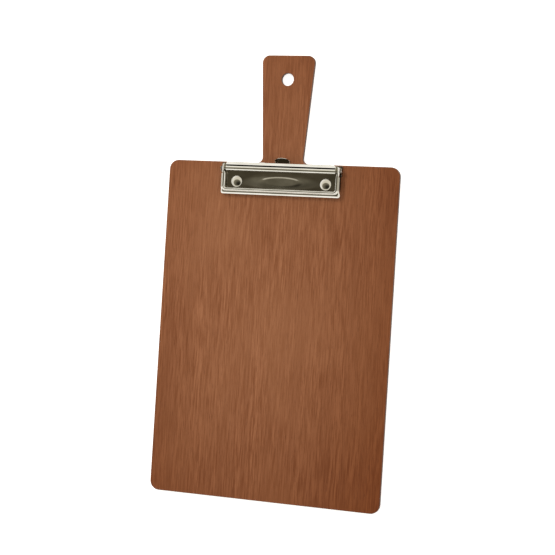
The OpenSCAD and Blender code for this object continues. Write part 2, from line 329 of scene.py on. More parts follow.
class Nodes:
    """Short forms for building one material's nodes."""

    def __init__(self, name):
        self.material = bpy.data.materials.new(name)
        self.material.use_nodes = True
        self.tree = self.material.node_tree
        self.shader = self.tree.nodes["Principled BSDF"]
        self.place = self.add("ShaderNodeTexCoord").outputs["Object"]

    def add(self, kind, **settings):
        """A new node with its settings."""
        node = self.tree.nodes.new(kind)
        for key, value in settings.items():
            setattr(node, key, value)
        return node

    def join(self, out, into):
        """Joins an output to an input."""
        self.tree.links.new(out, into)

    def stretched(self, scale):
        """The object's own coordinates, scaled; scale is in repeats per metre."""
        mapping = self.add("ShaderNodeMapping")
        mapping.inputs["Scale"].default_value = scale
        self.join(self.place, mapping.inputs["Vector"])
        return mapping.outputs["Vector"]

    def noise(self, scale, detail=3, roughness=0.5, distortion=0.0):
        """Noise on the object; scale is in repeats per metre along X, Y and Z."""
        noise = self.add("ShaderNodeTexNoise")
        noise.inputs["Scale"].default_value = 1
        noise.inputs["Detail"].default_value = detail
        noise.inputs["Roughness"].default_value = roughness
        noise.inputs["Distortion"].default_value = distortion
        self.join(self.stretched(scale), noise.inputs["Vector"])
        return noise.outputs["Fac"]

    def range(self, value, low, high, to_low=0.0, to_high=1.0):
        """Maps a value from one range to another, clamped, with a smooth step."""
        node = self.add("ShaderNodeMapRange", interpolation_type="SMOOTHSTEP")
        for name, number in (("From Min", low), ("From Max", high),
                             ("To Min", to_low), ("To Max", to_high)):
            node.inputs[name].default_value = number
        self.join(value, node.inputs["Value"])
        return node.outputs["Result"]

    def mix(self, amount, a, b, blend="MIX"):
        """Mixes two colours; each is a colour or another node's output."""
        node = self.add("ShaderNodeMix", data_type="RGBA", blend_type=blend)
        if isinstance(amount, float):
            node.inputs["Factor"].default_value = amount
        else:
            self.join(amount, node.inputs["Factor"])
        for socket, value in ((node.inputs[6], a), (node.inputs[7], b)):
            if isinstance(value, tuple):
                socket.default_value = (*value, 1)
            else:
                self.join(value, socket)
        return node.outputs[2]

    def tint(self, tone, colour):
        """A colour multiplied by another."""
        return self.mix(1.0, tone, colour, blend="MULTIPLY")

    def window(self, value, middle, half, soft):
        """1 where a value lies within half of the middle, 0 outside, with soft borders."""
        offset = self.add("ShaderNodeMath", operation="SUBTRACT")
        self.join(value, offset.inputs[0])
        offset.inputs[1].default_value = middle
        size = self.add("ShaderNodeMath", operation="ABSOLUTE")
        self.join(offset.outputs[0], size.inputs[0])
        return self.range(size.outputs[0], half + soft, half)

    def bump(self, height, depth, strength=1.0, after=None):
        """Bump of a given depth in millimetres."""
        node = self.add("ShaderNodeBump")
        node.inputs["Distance"].default_value = depth * MM
        node.inputs["Strength"].default_value = strength
        self.join(height, node.inputs["Height"])
        if after is not None:
            self.join(after, node.inputs["Normal"])
        return node.outputs["Normal"]


# ---------- materials ----------

# colours of the veneer
DARK_STREAK, PALE_STREAK = (0.215, 0.068, 0.024), (0.375, 0.150, 0.070)
DARK_BAND, PALE_CLOUD = (0.240, 0.082, 0.032), (0.365, 0.152, 0.071)
OPEN_PORE, CUT_EDGE = (0.12, 0.036, 0.013), (0.055, 0.018, 0.008)
# painted light on the veneer, palest in a pool left of the middle, with painted shade toward the
# rim: the tint of that shade, half size of the oval it is measured by in metres, and the oval's
# middle in parts of that size
RIM_PAINTED_SHADE = (0.56, 0.34, 0.11)
LIT_POOL_HALF = (0.115, 0.208)
LIT_POOL_AT = (-0.20, -0.03)
# tint of painted shade on the plating
SHADE_TINT = (0.50, 0.47, 0.42)


def stained_wood():
    """Straight-grained veneer with a brown stain, darker on its cut edges, under a satin varnish,
    with a painted pool of light left of the middle and painted shade toward the rim.
    """
    n = Nodes("stained_wood")
    streaks = n.noise((900, 38, 300), detail=4, roughness=0.65)
    pores = n.noise((2600, 120, 400), detail=2, roughness=0.5)
    bands = n.noise((110, 5, 30), detail=4, roughness=0.6, distortion=0.4)
    cloud = n.noise((14, 9, 6), detail=2)

    tone = n.mix(n.range(streaks, 0.36, 0.64), DARK_STREAK, PALE_STREAK)
    tone = n.mix(n.range(bands, 0.35, 0.7, 0.0, 0.6), tone, DARK_BAND)
    tone = n.mix(n.range(cloud, 0.3, 0.7, 0.0, 0.4), tone, PALE_CLOUD)
    tone = n.mix(n.range(pores, 0.6, 0.72, 0.0, 0.5), tone, OPEN_PORE)

    # painted light: the veneer is palest in a painted pool of light left of the middle, and
    # painted shade darkens it toward the rim
    pale = n.add("ShaderNodeVectorMath", operation="DISTANCE")
    n.join(n.stretched((1 / LIT_POOL_HALF[0], 1 / LIT_POOL_HALF[1], 0)), pale.inputs[0])
    pale.inputs[1].default_value = (*LIT_POOL_AT, 0)
    tone = n.mix(n.range(pale.outputs["Value"], 0.3, 1.8), tone, n.tint(tone, RIM_PAINTED_SHADE))

    # the cut edges take more stain
    facing = n.add("ShaderNodeSeparateXYZ")
    n.join(n.add("ShaderNodeTexCoord").outputs["Normal"], facing.inputs[0])
    up = n.add("ShaderNodeMath", operation="ABSOLUTE")
    n.join(facing.outputs["Z"], up.inputs[0])
    side = n.range(up.outputs[0], 0.95, 0.35)
    tone = n.mix(side, tone, CUT_EDGE)
    n.join(tone, n.shader.inputs["Base Color"])

    n.join(n.range(streaks, 0.3, 0.7, 0.42, 0.56), n.shader.inputs["Roughness"])
    n.shader.inputs["Specular IOR Level"].default_value = 0.4
    grain = n.bump(streaks, 0.03, 0.5)
    n.join(n.bump(pores, 0.04, 0.4, after=grain), n.shader.inputs["Normal"])
    return n.material


def polished_nickel(name, dark, pale, rough, swell_depth, painted_shade=(), unshaded_oval=None):
    """Bright nickel plating with faint stains, fine scratches and a slight waviness. Painted
    shade lists places where shade and dark reflections are painted into the colour, each the same
    on both sides of the middle: (middle, half size) along X, the same along Y, the soft border
    along Y, and the tint. An unshaded oval is (middle Y, half size along X, half size along Y);
    painted shade darkens the rest."""
    n = Nodes(name)
    stain = n.noise((60, 90, 60), detail=3)
    tone = n.mix(n.range(stain, 0.3, 0.7), dark, pale)
    parts = n.add("ShaderNodeSeparateXYZ")
    n.join(n.place, parts.inputs[0])
    either_side = n.add("ShaderNodeMath", operation="ABSOLUTE")
    n.join(parts.outputs["X"], either_side.inputs[0])
    # painted shade and painted dark reflections, multiplied into the base colour
    for (x, half_x), (y, half_y), soft, tint in painted_shade:
        both = n.add("ShaderNodeMath", operation="MULTIPLY")
        n.join(n.window(either_side.outputs[0], x * MM, half_x * MM, 0.2 * MM), both.inputs[0])
        n.join(n.window(parts.outputs["Y"], y * MM, half_y * MM, soft * MM), both.inputs[1])
        tone = n.mix(both.outputs[0], tone, n.tint(tone, tint))
    # painted shade over the plating outside the unshaded oval
    if unshaded_oval is not None:
        y, half_x, half_y = unshaded_oval
        away = n.add("ShaderNodeVectorMath", operation="DISTANCE")
        n.join(n.stretched((1 / (half_x * MM), 1 / (half_y * MM), 0)), away.inputs[0])
        away.inputs[1].default_value = (0, y / half_y, 0)
        tone = n.mix(n.range(away.outputs["Value"], 0.75, 1.15), tone, n.tint(tone, SHADE_TINT))
    n.join(tone, n.shader.inputs["Base Color"])
    n.shader.inputs["Metallic"].default_value = 1
    scratch = n.noise((150, 2600, 800), detail=3, roughness=0.7)
    n.join(n.range(scratch, 0.35, 0.7, rough, rough + 0.07), n.shader.inputs["Roughness"])
    fine = n.bump(scratch, 0.003, 0.3)
    swell = n.noise((28, 170, 110), detail=1)
    n.join(n.bump(swell, swell_depth, 0.3, after=fine), n.shader.inputs["Normal"])
    return n.material


def plain_steel(name, scale, detail, dark, pale, rough, depth, strength):
    """Dull steel that is marked all over, by its plating or by drawing. Scale and detail are
    those of the marks, and rough is the highest roughness."""
    n = Nodes(name)
    n.shader.inputs["Metallic"].default_value = 1
    marks = n.noise(scale, detail=detail, roughness=0.6)
    n.join(n.mix(n.range(marks, 0.3, 0.7), dark, pale), n.shader.inputs["Base Color"])
    n.join(n.range(marks, 0.3, 0.7, 0.22, rough), n.shader.inputs["Roughness"])
    n.join(n.bump(marks, depth, strength), n.shader.inputs["Normal"])
    return n.material


def studio_floor():
    """Pale seamless paper."""
    n = Nodes("studio_floor")
    fibre = n.noise((400, 400, 400), detail=3)
    n.join(n.mix(n.range(fibre, 0.3, 0.7), (0.90, 0.90, 0.90), (0.93, 0.93, 0.93)),
           n.shader.inputs["Base Color"])
    n.shader.inputs["Roughness"].default_value = 0.9
    n.shader.inputs["Specular IOR Level"].default_value = 0.0
    n.shader.inputs["Emission Color"].default_value = (1, 1, 1, 1)
    n.shader.inputs["Emission Strength"].default_value = 0.75
    return n.material


# ---------- board ----------

def board_outline():
    """Rim of the board with its tapered handle, anticlockwise from the lower left corner."""
    handle_l = Y_END - Y_TOP
    slope = math.atan2((HANDLE_END_W - HANDLE_ROOT_W) / 2, handle_l)
    tilt = math.degrees(slope)
    lean = math.tan(slope)
    end_y = handle_l - HANDLE_CORNER
    end_x = HANDLE_ROOT_W / 2 + lean * end_y - HANDLE_CORNER / math.cos(slope)
    root_x = HANDLE_ROOT_W / 2 + lean * HANDLE_ROOT_R + HANDLE_ROOT_R / math.cos(slope)
    x, r = HALF_W - BOARD_CORNER, BOARD_CORNER
    right = arc(x, Y_LOW + r, r, -90, 0, 12)
    right += arc(x, Y_TOP - r, r, 0, 90, 12)
    right += arc(root_x, Y_TOP + HANDLE_ROOT_R, HANDLE_ROOT_R, 270, 180 - tilt, 12)
    right += arc(end_x, Y_TOP + end_y, HANDLE_CORNER, -tilt, 90, 14)
    return right + [(-px, py) for px, py in reversed(right)]


def make_board(material):
    """The board with its hanging hole, rivet holes and the counterbores at the back."""
    hole = arc(0, HOLE_Y, HOLE_R, 360, 0, 56)[:-1]
    board = plate("wooden_board", [board_outline(), hole], 0, Z_FACE, BOARD_EDGE)
    bore_r = (WASHER_HIGH[0] - WASHER_LOW[0]) / 2 + COUNTERBORE_FIT
    for x in (-RIVET_X, RIVET_X):
        board = cut_round(board, (x, RIVET_Y), SHANK_R + SHANK_FIT, -1, Z_FACE + 1)
        board = cut_round(board, (x, RIVET_Y), bore_r, -1, WASHER_HIGH[2])
    return finish_piece(board, material, "board_assembly", "stained_wood", "board")


# ---------- base plate ----------

RAMP_LENGTH = 3.6
RAMP_DROP = 0.9
FLOOR_HALF_W = 57.5
# the pressed ovals, one on the other: height, and (half length, half width, width of the slope)
LENS_Y = Y_TOP - 17.1
LENS_RISE, LENS = 0.24, (37, 7.9, 3.2)
PLATEAU_Y = LENS_Y - 1
PLATEAU_RISE, PLATEAU = 0.32, (23, 5.2, 1.6)
DENT_X, DENT_Y = -37.8, LENS_Y - 2.6
DENT_R, DENT_DEPTH = 3, 0.1
RIPPLE = 0.03
EAR_FRONT = Y_TOP - 10.6
EAR_REAR = Y_TOP - 4
EAR_R = 1.6
# the floor widens to the ears just in front of them
EAR_LEAD = 1.1
SKIRT_BACK = 1.5
RIB_X = 7.6
RIB_FRONT = Y_TOP - 12
COLLAR_R = 3.6


def pressed_oval(x, y, half_l, half_w, edge):
    """Height, from 0 to 1, of an oval pressed up out of the sheet; edge is its slope's width."""
    rim = math.hypot(x / half_l, y / half_w)
    return blend_in((1 - rim) * half_w / edge)


def floor_height(x, y):
    """Upper surface of the base plate: front ramp, two pressed ovals, a dent and a ripple."""
    ramp = blend_in((y - BASE_LOW[1]) / RAMP_LENGTH)
    lens = LENS_RISE * pressed_oval(x, y - LENS_Y, *LENS)
    plateau = PLATEAU_RISE * pressed_oval(x, y - PLATEAU_Y, *PLATEAU)
    dent = DENT_DEPTH * math.exp(-((x - DENT_X) ** 2 + (y - DENT_Y) ** 2) / DENT_R ** 2)
    ripple = RIPPLE * math.sin(x / 9.5 + 0.8) * math.sin(y / 4.2 + x / 31)
    return FLOOR_Z - (1 - ramp) * RAMP_DROP + lens + plateau + (ripple - dent) * ramp


def make_base_plate(material):
    """Floor sheet with its upturned ears, side skirts, tab guides and rivet collars."""
    columns, lines = 160, 80
    rows = []
    for j in range(lines + 1):
        y = BASE_LOW[1] + (BASE_HIGH[1] - BASE_LOW[1]) * j / lines
        widen = blend_in(y - EAR_FRONT + EAR_LEAD)
        half = FLOOR_HALF_W + (BASE_HIGH[0] - FLOOR_HALF_W) * widen
        xs = [half * (2 * i / columns - 1) for i in range(columns + 1)]
        rows.append([(x, y, floor_height(x, y)) for x in xs])
    sheet = sheet_metal("floor", rows)
    for x in (-RIVET_X, RIVET_X):
        sheet = cut_round(sheet, (x, RIVET_Y), SHANK_R + SHANK_FIT, 0, 9)

    inner = BASE_HIGH[0] - SHEET
    pin_hole = arc(HINGE_Y, HINGE_Z, PIN_HOLE_R, 360, 0, 24)[:-1]
    ear = arc(HINGE_Y, HINGE_Z, EAR_R, 20, 150, 14)
    ear += [(EAR_FRONT, FLOOR_Z + 1.0), (EAR_FRONT, SEAT_Z), (EAR_REAR, SEAT_Z),
            (EAR_REAR, FLOOR_Z + 0.6)]
    ear = side_plate("ear", [ear, pin_hole], inner, BASE_HIGH[0])
    y0, y1 = BASE_LOW[1] + RAMP_LENGTH + SKIRT_BACK, BASE_HIGH[1] - 2
    skirt = [(y0, SEAT_Z), (y1, SEAT_Z), (y1, FLOOR_Z - 0.02), (y0, FLOOR_Z - 0.02)]
    skirt = side_plate("skirt", [skirt], FLOOR_HALF_W - SHEET, FLOOR_HALF_W - 0.05)
    under = FLOOR_Z - 0.1
    rib = [(RIB_FRONT, SEAT_Z), (BASE_HIGH[1], SEAT_Z), (BASE_HIGH[1], under), (RIB_FRONT, under)]
    rib = side_plate("rib", [rib], RIB_X, RIB_X + SHEET)
    bore = SHANK_R + SHANK_FIT
    collar = [(bore, SEAT_Z), (COLLAR_R, SEAT_Z), (COLLAR_R, under), (bore, under),
              (bore, SEAT_Z)]
    collar = lathe("collar", collar, (RIVET_X, RIVET_Y, 0), steps=48)
    right = [ear, skirt, rib, collar]
    left = [mirrored(part, part.name + "_left") for part in right]
    base = join("clip_base_plate", [sheet] + right + left)
    return finish_piece(base, material, "board_assembly", "nickel_plate", "base_plate")


# ---------- rivets and washers ----------

RIVET_RIM = 0.4
TAIL_FLANGE = 1.1
TAIL_EASE = 0.2
# a turned piece is closed by a flat of this radius on its axis
AXIS_R = 0.05


def make_rivet(name, x, material, node):
    """Domed head, shank and the tail that is spread over its washer."""
    dome = RIVET_HIGH[2] - FLOOR_Z - RIVET_RIM
    ball_r = (RIVET_HEAD_R ** 2 + dome ** 2) / (2 * dome)
    ball_z = RIVET_HIGH[2] - ball_r
    side = math.degrees(math.asin(RIVET_HEAD_R / ball_r))
    cap = arc(0, ball_z, ball_r, 90 - side + 1.2, 89.6, 26)
    tail_z, tail_r = RIVET_LOW[2], SHANK_R + TAIL_FLANGE
    profile = [(AXIS_R, tail_z), (tail_r - TAIL_EASE, tail_z), (tail_r, tail_z + TAIL_EASE),
               (tail_r, tail_z + 0.35), (SHANK_R, WASHER_LOW[2]), (SHANK_R, FLOOR_Z + 0.05),
               (RIVET_HEAD_R - 0.1, FLOOR_Z + 0.05), (RIVET_HEAD_R, FLOOR_Z + 0.15),
               (RIVET_HEAD_R, FLOOR_Z + RIVET_RIM - 0.1)] + cap
    rivet = lathe(name, profile, (x, RIVET_Y, 0), steps=96)
    return finish_piece(rivet, material, "board_assembly", "nickel_rivet", node)


def make_washer(name, x, material, node):
    """Flat washer with eased edges."""
    outer = (WASHER_HIGH[0] - WASHER_LOW[0]) / 2
    inner = SHANK_R + SHANK_FIT
    low, high, ease = WASHER_LOW[2], WASHER_HIGH[2], 0.12
    profile = [(inner, low + ease), (inner + ease, low), (outer - ease, low), (outer, low + ease),
               (outer, high - ease), (outer - ease, high), (inner + ease, high),
               (inner, high - ease), (inner, low + ease)]
    washer = lathe(name, profile, (x, RIVET_Y, 0), steps=64)
    return finish_piece(washer, material, "board_assembly", "zinc_steel", node)


# ---------- hinge pin and springs ----------

PIN_HEAD = 0.5
PIN_HEAD_R = 1.45


def make_pin(material):
    """Pin with a domed head outside each ear."""
    end = PIN_HIGH[0]
    ball_r = (PIN_HEAD_R ** 2 + PIN_HEAD ** 2) / (2 * PIN_HEAD)
    side = math.degrees(math.asin(PIN_HEAD_R / ball_r))
    dome = [(r, h) for h, r in arc(end - ball_r, 0, ball_r, 0.6, side, 10)]
    half = dome + [(PIN_R, end - PIN_HEAD)]  # the dome starts just off the axis
    profile = [(r, -h) for r, h in half] + [(r, h) for r, h in reversed(half)]
    pin = lathe("clip_hinge_pin", profile, (0, HINGE_Y, HINGE_Z), axis="X", steps=48)
    return finish_piece(pin, material, "board_assembly", "zinc_steel", "hinge_pin")


FLAP_ANGLE = 32
WIRE_R = 0.32
COIL_R = PIN_R + 0.1 + WIRE_R
COIL_TURNS = 8
COIL_LENGTH = 5.2
SPRING_X = 30
FLAP_LEG = 5.2
BASE_LEG = 2.7
BASE_LEG_ANGLE = 28


def make_spring(name, side, material, node):
    """Torsion spring: one leg on the base, a helix round the pin, one leg under the flap."""
    start, turn = BASE_LEG_ANGLE - 90, COIL_TURNS * 360 + FLAP_ANGLE - BASE_LEG_ANGLE
    steps = COIL_TURNS * 28
    path = []
    for i in range(steps + 1):
        y, z = arc(0, 0, COIL_R, start + turn * i / steps, 0, 1)[0]
        path.append((SPRING_X - COIL_LENGTH / 2 + COIL_LENGTH * i / steps, y, z))
    x, y, z = path[0]
    a = math.radians(BASE_LEG_ANGLE)
    path.insert(0, (x, y - BASE_LEG * math.cos(a), z - BASE_LEG * math.sin(a)))
    x, y, z = path[-1]
    a = math.radians(FLAP_ANGLE)
    path.append((x, y + FLAP_LEG * math.cos(a), z + FLAP_LEG * math.sin(a)))
    path = [(side * x, HINGE_Y + y, HINGE_Z + z) for x, y, z in path]
    spring = wire(name, path, WIRE_R)
    finish_piece(spring, material, None, "spring_steel", node)
    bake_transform(spring)
    return spring


# ---------- jaw ----------

BEAD_R = 1.7
BEAD_Z = Z_FACE + 4.7
BEAD_LEG_Z = FLOOR_Z + 0.7
ARM_X = 56.5
BAR_Y = JAW_LOW[1] + 4.65
BAR_SLIM = 0.3
BEND_R = 3.5
WEB_Z = Z_FACE + 4.9
LIP_R = 1.9
LIP_SLOPE = 40
LIP_SLOPE_L = 1.0
LIP_EDGE_R = 0.45
LIP_PLAN_R = 3
SIDE_STEP = 1.6
SIDE_STEP_Y = Y_TOP - 25.2
SIDE_END_Y = Y_TOP - 11.79
SIDE_EDGE_R = 0.5
SIDE_SLOPE = 34
FILLET_R = 0.6
LEVER_HALF_W = 54.4
BARREL_R = 2.6
FLAP_END = 6.2
FLAP_TOP = -0.27
ARM_END_Y = Y_TOP - 9.8
CHEEK_R = 1.0
CHEEK_OUT = 1.1
CHEEK_LEAN = 0.6
CHEEK_END_Y = Y_TOP - 2.6
# the cheek closes to a point over this length, lies this far under the flap's upper face and
# reaches this far below the line of the flap
CHEEK_TIP_L = 1.2
CHEEK_UNDER_FLAP = 0.2
CHEEK_DEPTH = 2.4
# and it bends this far back toward the middle
CHEEK_TUCK = 0.3
# the arm's bead narrows into the cheek over a neck
NECK_Y = ARM_END_Y - 2
NECK_L = 4.5
CREASE_Y = HINGE_Y + 2.47
# end walls of the lever and the shoulders outside them
WALL_X = LEVER_HALF_W - 0.1
WALL_R, WALL_UNDER = BARREL_R - 0.1, -0.5
SHOULDER_R, SHOULDER_UNDER = 1.5, -1.3


# steps between stations along the bar, round its bend, along the arm and along the cheek
BAR_STEPS, BEND_STEPS, ARM_STEPS, CHEEK_STEPS = 14, 16, 5, 24
LEVER_STEPS = 40
# steps in each of the two curves that lead down to the lip's edge
CURVE_STEPS = 8
# the side wall starts inside the bead: this far back along its slope and this far under it
SIDE_TUCK, SIDE_SINK = 0.35, 0.1


def flap_z(y):
    """Height of the flap's upper face."""
    a = math.radians(FLAP_ANGLE)
    return HINGE_Z + (y - HINGE_Y) * math.tan(a) + FLAP_TOP / math.cos(a)


def frame_stations():
    """Stations of the bead from the middle of the bar to the rear end of the right arm.
    Each is (x, y, outward x, outward y, bead radius, bead centre height, leg height)."""
    bar_x = ARM_X - BEND_R
    flat = (BEAD_R, BEAD_Z, BEAD_LEG_Z)
    stations = [(bar_x * i / BAR_STEPS, BAR_Y, 0, -1, *flat) for i in range(BAR_STEPS)]
    for i in range(BEND_STEPS + 1):
        a = math.radians(90 * i / BEND_STEPS)
        stations.append((bar_x + BEND_R * math.sin(a), BAR_Y + BEND_R * (1 - math.cos(a)),
                         math.sin(a), -math.cos(a), *flat))
    straight = BAR_Y + BEND_R
    for i in range(1, ARM_STEPS + 1):
        y = straight + (NECK_Y - straight) * i / ARM_STEPS
        stations.append((ARM_X, y, 1, 0, *flat))
    for i in range(1, CHEEK_STEPS + 1):
        y = NECK_Y + (CHEEK_END_Y - NECK_Y) * i / CHEEK_STEPS
        slim = blend_in((y - NECK_Y) / NECK_L)
        r = BEAD_R + (CHEEK_R - BEAD_R) * slim
        tip = max(0.0, (y - CHEEK_END_Y + CHEEK_TIP_L) / CHEEK_TIP_L)
        r *= math.sqrt(max(0.02, 1 - tip * tip))
        top = max(BEAD_Z + BEAD_R, flap_z(y) - CHEEK_UNDER_FLAP)
        x = ARM_X + CHEEK_OUT * slim - CHEEK_TUCK * blend_in((y - NECK_Y - 4) / 5)
        under = HINGE_Z + (y - HINGE_Y) * math.tan(math.radians(FLAP_ANGLE)) - CHEEK_DEPTH
        leg = max(BEAD_LEG_Z, min(under, top - r - 0.4))
        stations.append((x, y, 1, 0, r, top - r, leg))
    return stations


def both_halves(stations):
    """The stations of the left half, from its end to the middle, then those of the right."""
    left = [(-x, y, -nx, ny, *rest) for x, y, nx, ny, *rest in reversed(stations[1:])]
    return left + stations


def bead_rows():
    """Rows across the bead, from its inner leg over the top to its outer leg."""
    rows = []
    for x, y, nx, ny, r, z, leg in both_halves(frame_stations()):
        lean = CHEEK_LEAN * blend_in((y - ARM_END_Y + 1) / 3)
        section = [(-r, leg)] + [(d, h - lean * d) for d, h in arc(0, z, r, 180, 0, 20)]
        section.append((r, leg))
        slim = 1 - BAR_SLIM * abs(ny)
        section = [(d * slim if d < 0 else d, h) for d, h in section]
        rows.append([(x + nx * d, y + ny * d, h) for d, h in section])
    return rows


def lip_reach(x, y, nx, ny):
    """Distance from a point inside the lip, along an outward direction, to its outer face."""
    half = JAW_HIGH[0] - SIDE_STEP * blend_in((y - SIDE_STEP_Y + 1) / 2)
    cx, cy, r = half - LIP_PLAN_R, JAW_LOW[1] + LIP_PLAN_R, LIP_PLAN_R
    reach = []
    if ny < 0:
        reach.append((JAW_LOW[1] - y) / ny)
    if nx > 0:
        reach.append((half - x) / nx)
    d = min(reach)
    if x + nx * d > cx and y + ny * d < cy:
        dot = (x - cx) * nx + (y - cy) * ny
        gap = (x - cx) ** 2 + (y - cy) ** 2 - r * r
        d = -dot + math.sqrt(dot * dot - gap)
    return d


def lip_section(reach):
    """Outer surface from the bead through the hollow, over the bend and down the lip."""
    low_z = JAW_LOW[2]
    start = math.radians(90 - LIP_SLOPE)
    inset = LIP_EDGE_R + (LIP_R - LIP_EDGE_R) * math.cos(start) + LIP_SLOPE_L * math.sin(start)
    bend_x, bend_z = reach - inset, WEB_Z - LIP_R
    edge_z = bend_z + (LIP_R - LIP_EDGE_R) * math.sin(start) - LIP_SLOPE_L * math.cos(start)
    rise = WEB_Z + FILLET_R - BEAD_Z
    hollow_x = math.sqrt((BEAD_R + FILLET_R) ** 2 - rise ** 2)
    hollow_z = WEB_Z + FILLET_R
    bend_from = 90.0
    if hollow_x > bend_x:
        # no flat web is left here: the hollow touches both the bead and the bend
        a, b = BEAD_R + FILLET_R, LIP_R + FILLET_R
        dx, dz = bend_x, bend_z - BEAD_Z
        gap = math.hypot(dx, dz)
        along = (a * a - b * b + gap * gap) / (2 * gap)
        off = math.sqrt(a * a - along * along)
        hollow_x = (along * dx - off * dz) / gap
        hollow_z = BEAD_Z + (along * dz + off * dx) / gap
        bend_from = math.degrees(math.atan2(hollow_z - bend_z, hollow_x - bend_x))
    touch = math.degrees(math.atan2(hollow_z - BEAD_Z, hollow_x))
    inside = arc(0, BEAD_Z, BEAD_R - 0.3, touch + 12, touch, 1)[:1]
    hollow = arc(hollow_x, hollow_z, FILLET_R, touch + 180, bend_from + 180, CURVE_STEPS)
    bend = arc(bend_x, bend_z, LIP_R, bend_from, 90 - LIP_SLOPE, CURVE_STEPS)
    edge = arc(reach - LIP_EDGE_R, edge_z, LIP_EDGE_R, 90 - LIP_SLOPE, 0, 6)
    return inside + hollow + bend + edge + [(reach, low_z)]


def side_section(reach):
    """Outer surface along an arm: a straight slope down from the bead, a bend and the side wall.
    It has as many points as the section of the lip."""
    low_z = JAW_LOW[2]
    count = 2 * (CURVE_STEPS + 1)
    start = math.radians(90 - SIDE_SLOPE)
    down = (math.sin(start), -math.cos(start))
    top = (BEAD_R * math.cos(start), BEAD_Z + BEAD_R * math.sin(start))
    foot_x = reach - SIDE_EDGE_R * (1 - math.cos(start))
    length = (foot_x - top[0]) / down[0]
    foot_z = top[1] + length * down[1]
    slope = [(top[0] + down[0] * length * t / count, top[1] + down[1] * length * t / count)
             for t in range(count)]
    inside = [(top[0] - SIDE_TUCK * down[0] + SIDE_SINK * down[1],
               top[1] - SIDE_TUCK * down[1] - SIDE_SINK * down[0])]
    edge = arc(reach - SIDE_EDGE_R, foot_z - SIDE_EDGE_R * math.sin(start), SIDE_EDGE_R,
               90 - SIDE_SLOPE, 0, 6)
    return inside + slope + edge + [(reach, low_z)]


def lip_rows():
    """Rows down the lip along the bar and down the side wall along the arms. Round the corner
    one section turns into the other."""
    stations = []
    for x, y, nx, ny, *_ in frame_stations():
        reach = lip_reach(x, y, nx, ny)
        if y + ny * reach > SIDE_END_Y:
            break
        stations.append((x, y, nx, ny, reach))
    rows = []
    for x, y, nx, ny, reach in both_halves(stations):
        side = nx * nx
        section = [(d0 + (d1 - d0) * side, z0 + (z1 - z0) * side)
                   for (d0, z0), (d1, z1) in zip(lip_section(reach), side_section(reach))]
        rows.append([(x + nx * d, y + ny * d, h) for d, h in section])
    return rows


# the crease between barrel and flap: along the flap's line from the pin, and above it
CREASE = ((2.57, -0.58), (2.68, -0.72), (3.20, -0.72), (3.40, -0.62), (3.48, -0.38),
          (3.60, FLAP_TOP))
# angles in degrees, up from level at the rear, at which the barrel's sheet starts and runs into
# the crease
BARREL_FROM, BARREL_TO = 220, 29
# radius of the flap's rounded corners, and how much of it is cut off sideways
FLAP_CORNER, FLAP_CORNER_CUT = 3.0, 0.8


def lever_section():
    """Closed outline of the lever in (y, z) from the hinge: over the barrel, through the crease,
    up the flap and back underneath. Each point also carries how far its ends are cut back."""
    a = math.radians(FLAP_ANGLE)

    def place(s, n):
        return s * math.cos(a) - n * math.sin(a), s * math.sin(a) + n * math.cos(a)

    inner = BARREL_R - SHEET
    under = FLAP_TOP - SHEET
    points = [(*p, 0.0) for p in arc(0, 0, BARREL_R, BARREL_FROM, BARREL_TO, 32)]
    points += [(*place(s, n), 0.0) for s, n in CREASE]
    fold, tip, corner = CREASE[-1][0], FLAP_END + 0.1, FLAP_CORNER
    top, below = [], []
    for i in range(1, 13):
        s = fold + (tip - fold) * i / 12
        into = max(0.0, s - (tip - corner))
        cut = (corner - math.sqrt(max(0.0, corner ** 2 - into ** 2))) * FLAP_CORNER_CUT
        top.append((*place(s, FLAP_TOP), cut))
        below.append((*place(s, under), cut))
    meet = FLAP_ANGLE + math.degrees(math.asin(under / inner))
    points += top + below[::-1]
    points += [(*p, 0.0) for p in arc(0, 0, inner, meet, BARREL_FROM, 28)]
    return points


def make_lever():
    """The rolled barrel and thumb flap, pressed from one sheet."""
    rings = []
    for i in range(LEVER_STEPS + 1):
        across = 2 * i / LEVER_STEPS - 1
        rings.append([((LEVER_HALF_W - cut) * across, HINGE_Y + y, HINGE_Z + z)
                      for y, z, cut in lever_section()])
    lever = weld(loft("lever", rings, closed_rings=True, caps=True))
    round_edges(lever)
    return settle(lever)


# outline of an end wall, measured from the pin: the front and rear of its foot, its lower edge
# as (along the flap's line, above it), and the ends of its edge under the flap, along that line
WALL_FOOT = (-1.6, 0.6)
WALL_LOWER = ((1.2, -2.2), (3.2, -2.1), (4.3, -1.5))
WALL_FLAP_EDGE = (4.3, 3.4)


def end_wall(name, inner, outer, top_r, under):
    """Wall across the end of the lever, from the barrel to the flap, with a hole for the pin.
    Its edge under the flap is given as a height above the flap's line."""
    a = math.radians(FLAP_ANGLE)
    outline = arc(0, 0, top_r, 50, 215, 16)
    outline += [(y, BEAD_LEG_Z - HINGE_Z) for y in WALL_FOOT]
    for s, n in (*WALL_LOWER, *((s, under) for s in WALL_FLAP_EDGE)):
        outline.append((s * math.cos(a) - n * math.sin(a), s * math.sin(a) + n * math.cos(a)))
    outline = [(HINGE_Y + y, HINGE_Z + z) for y, z in outline]
    pin_hole = arc(HINGE_Y, HINGE_Z, PIN_HOLE_R, 360, 0, 24)[:-1]
    return side_plate(name, [outline, pin_hole], inner, outer)


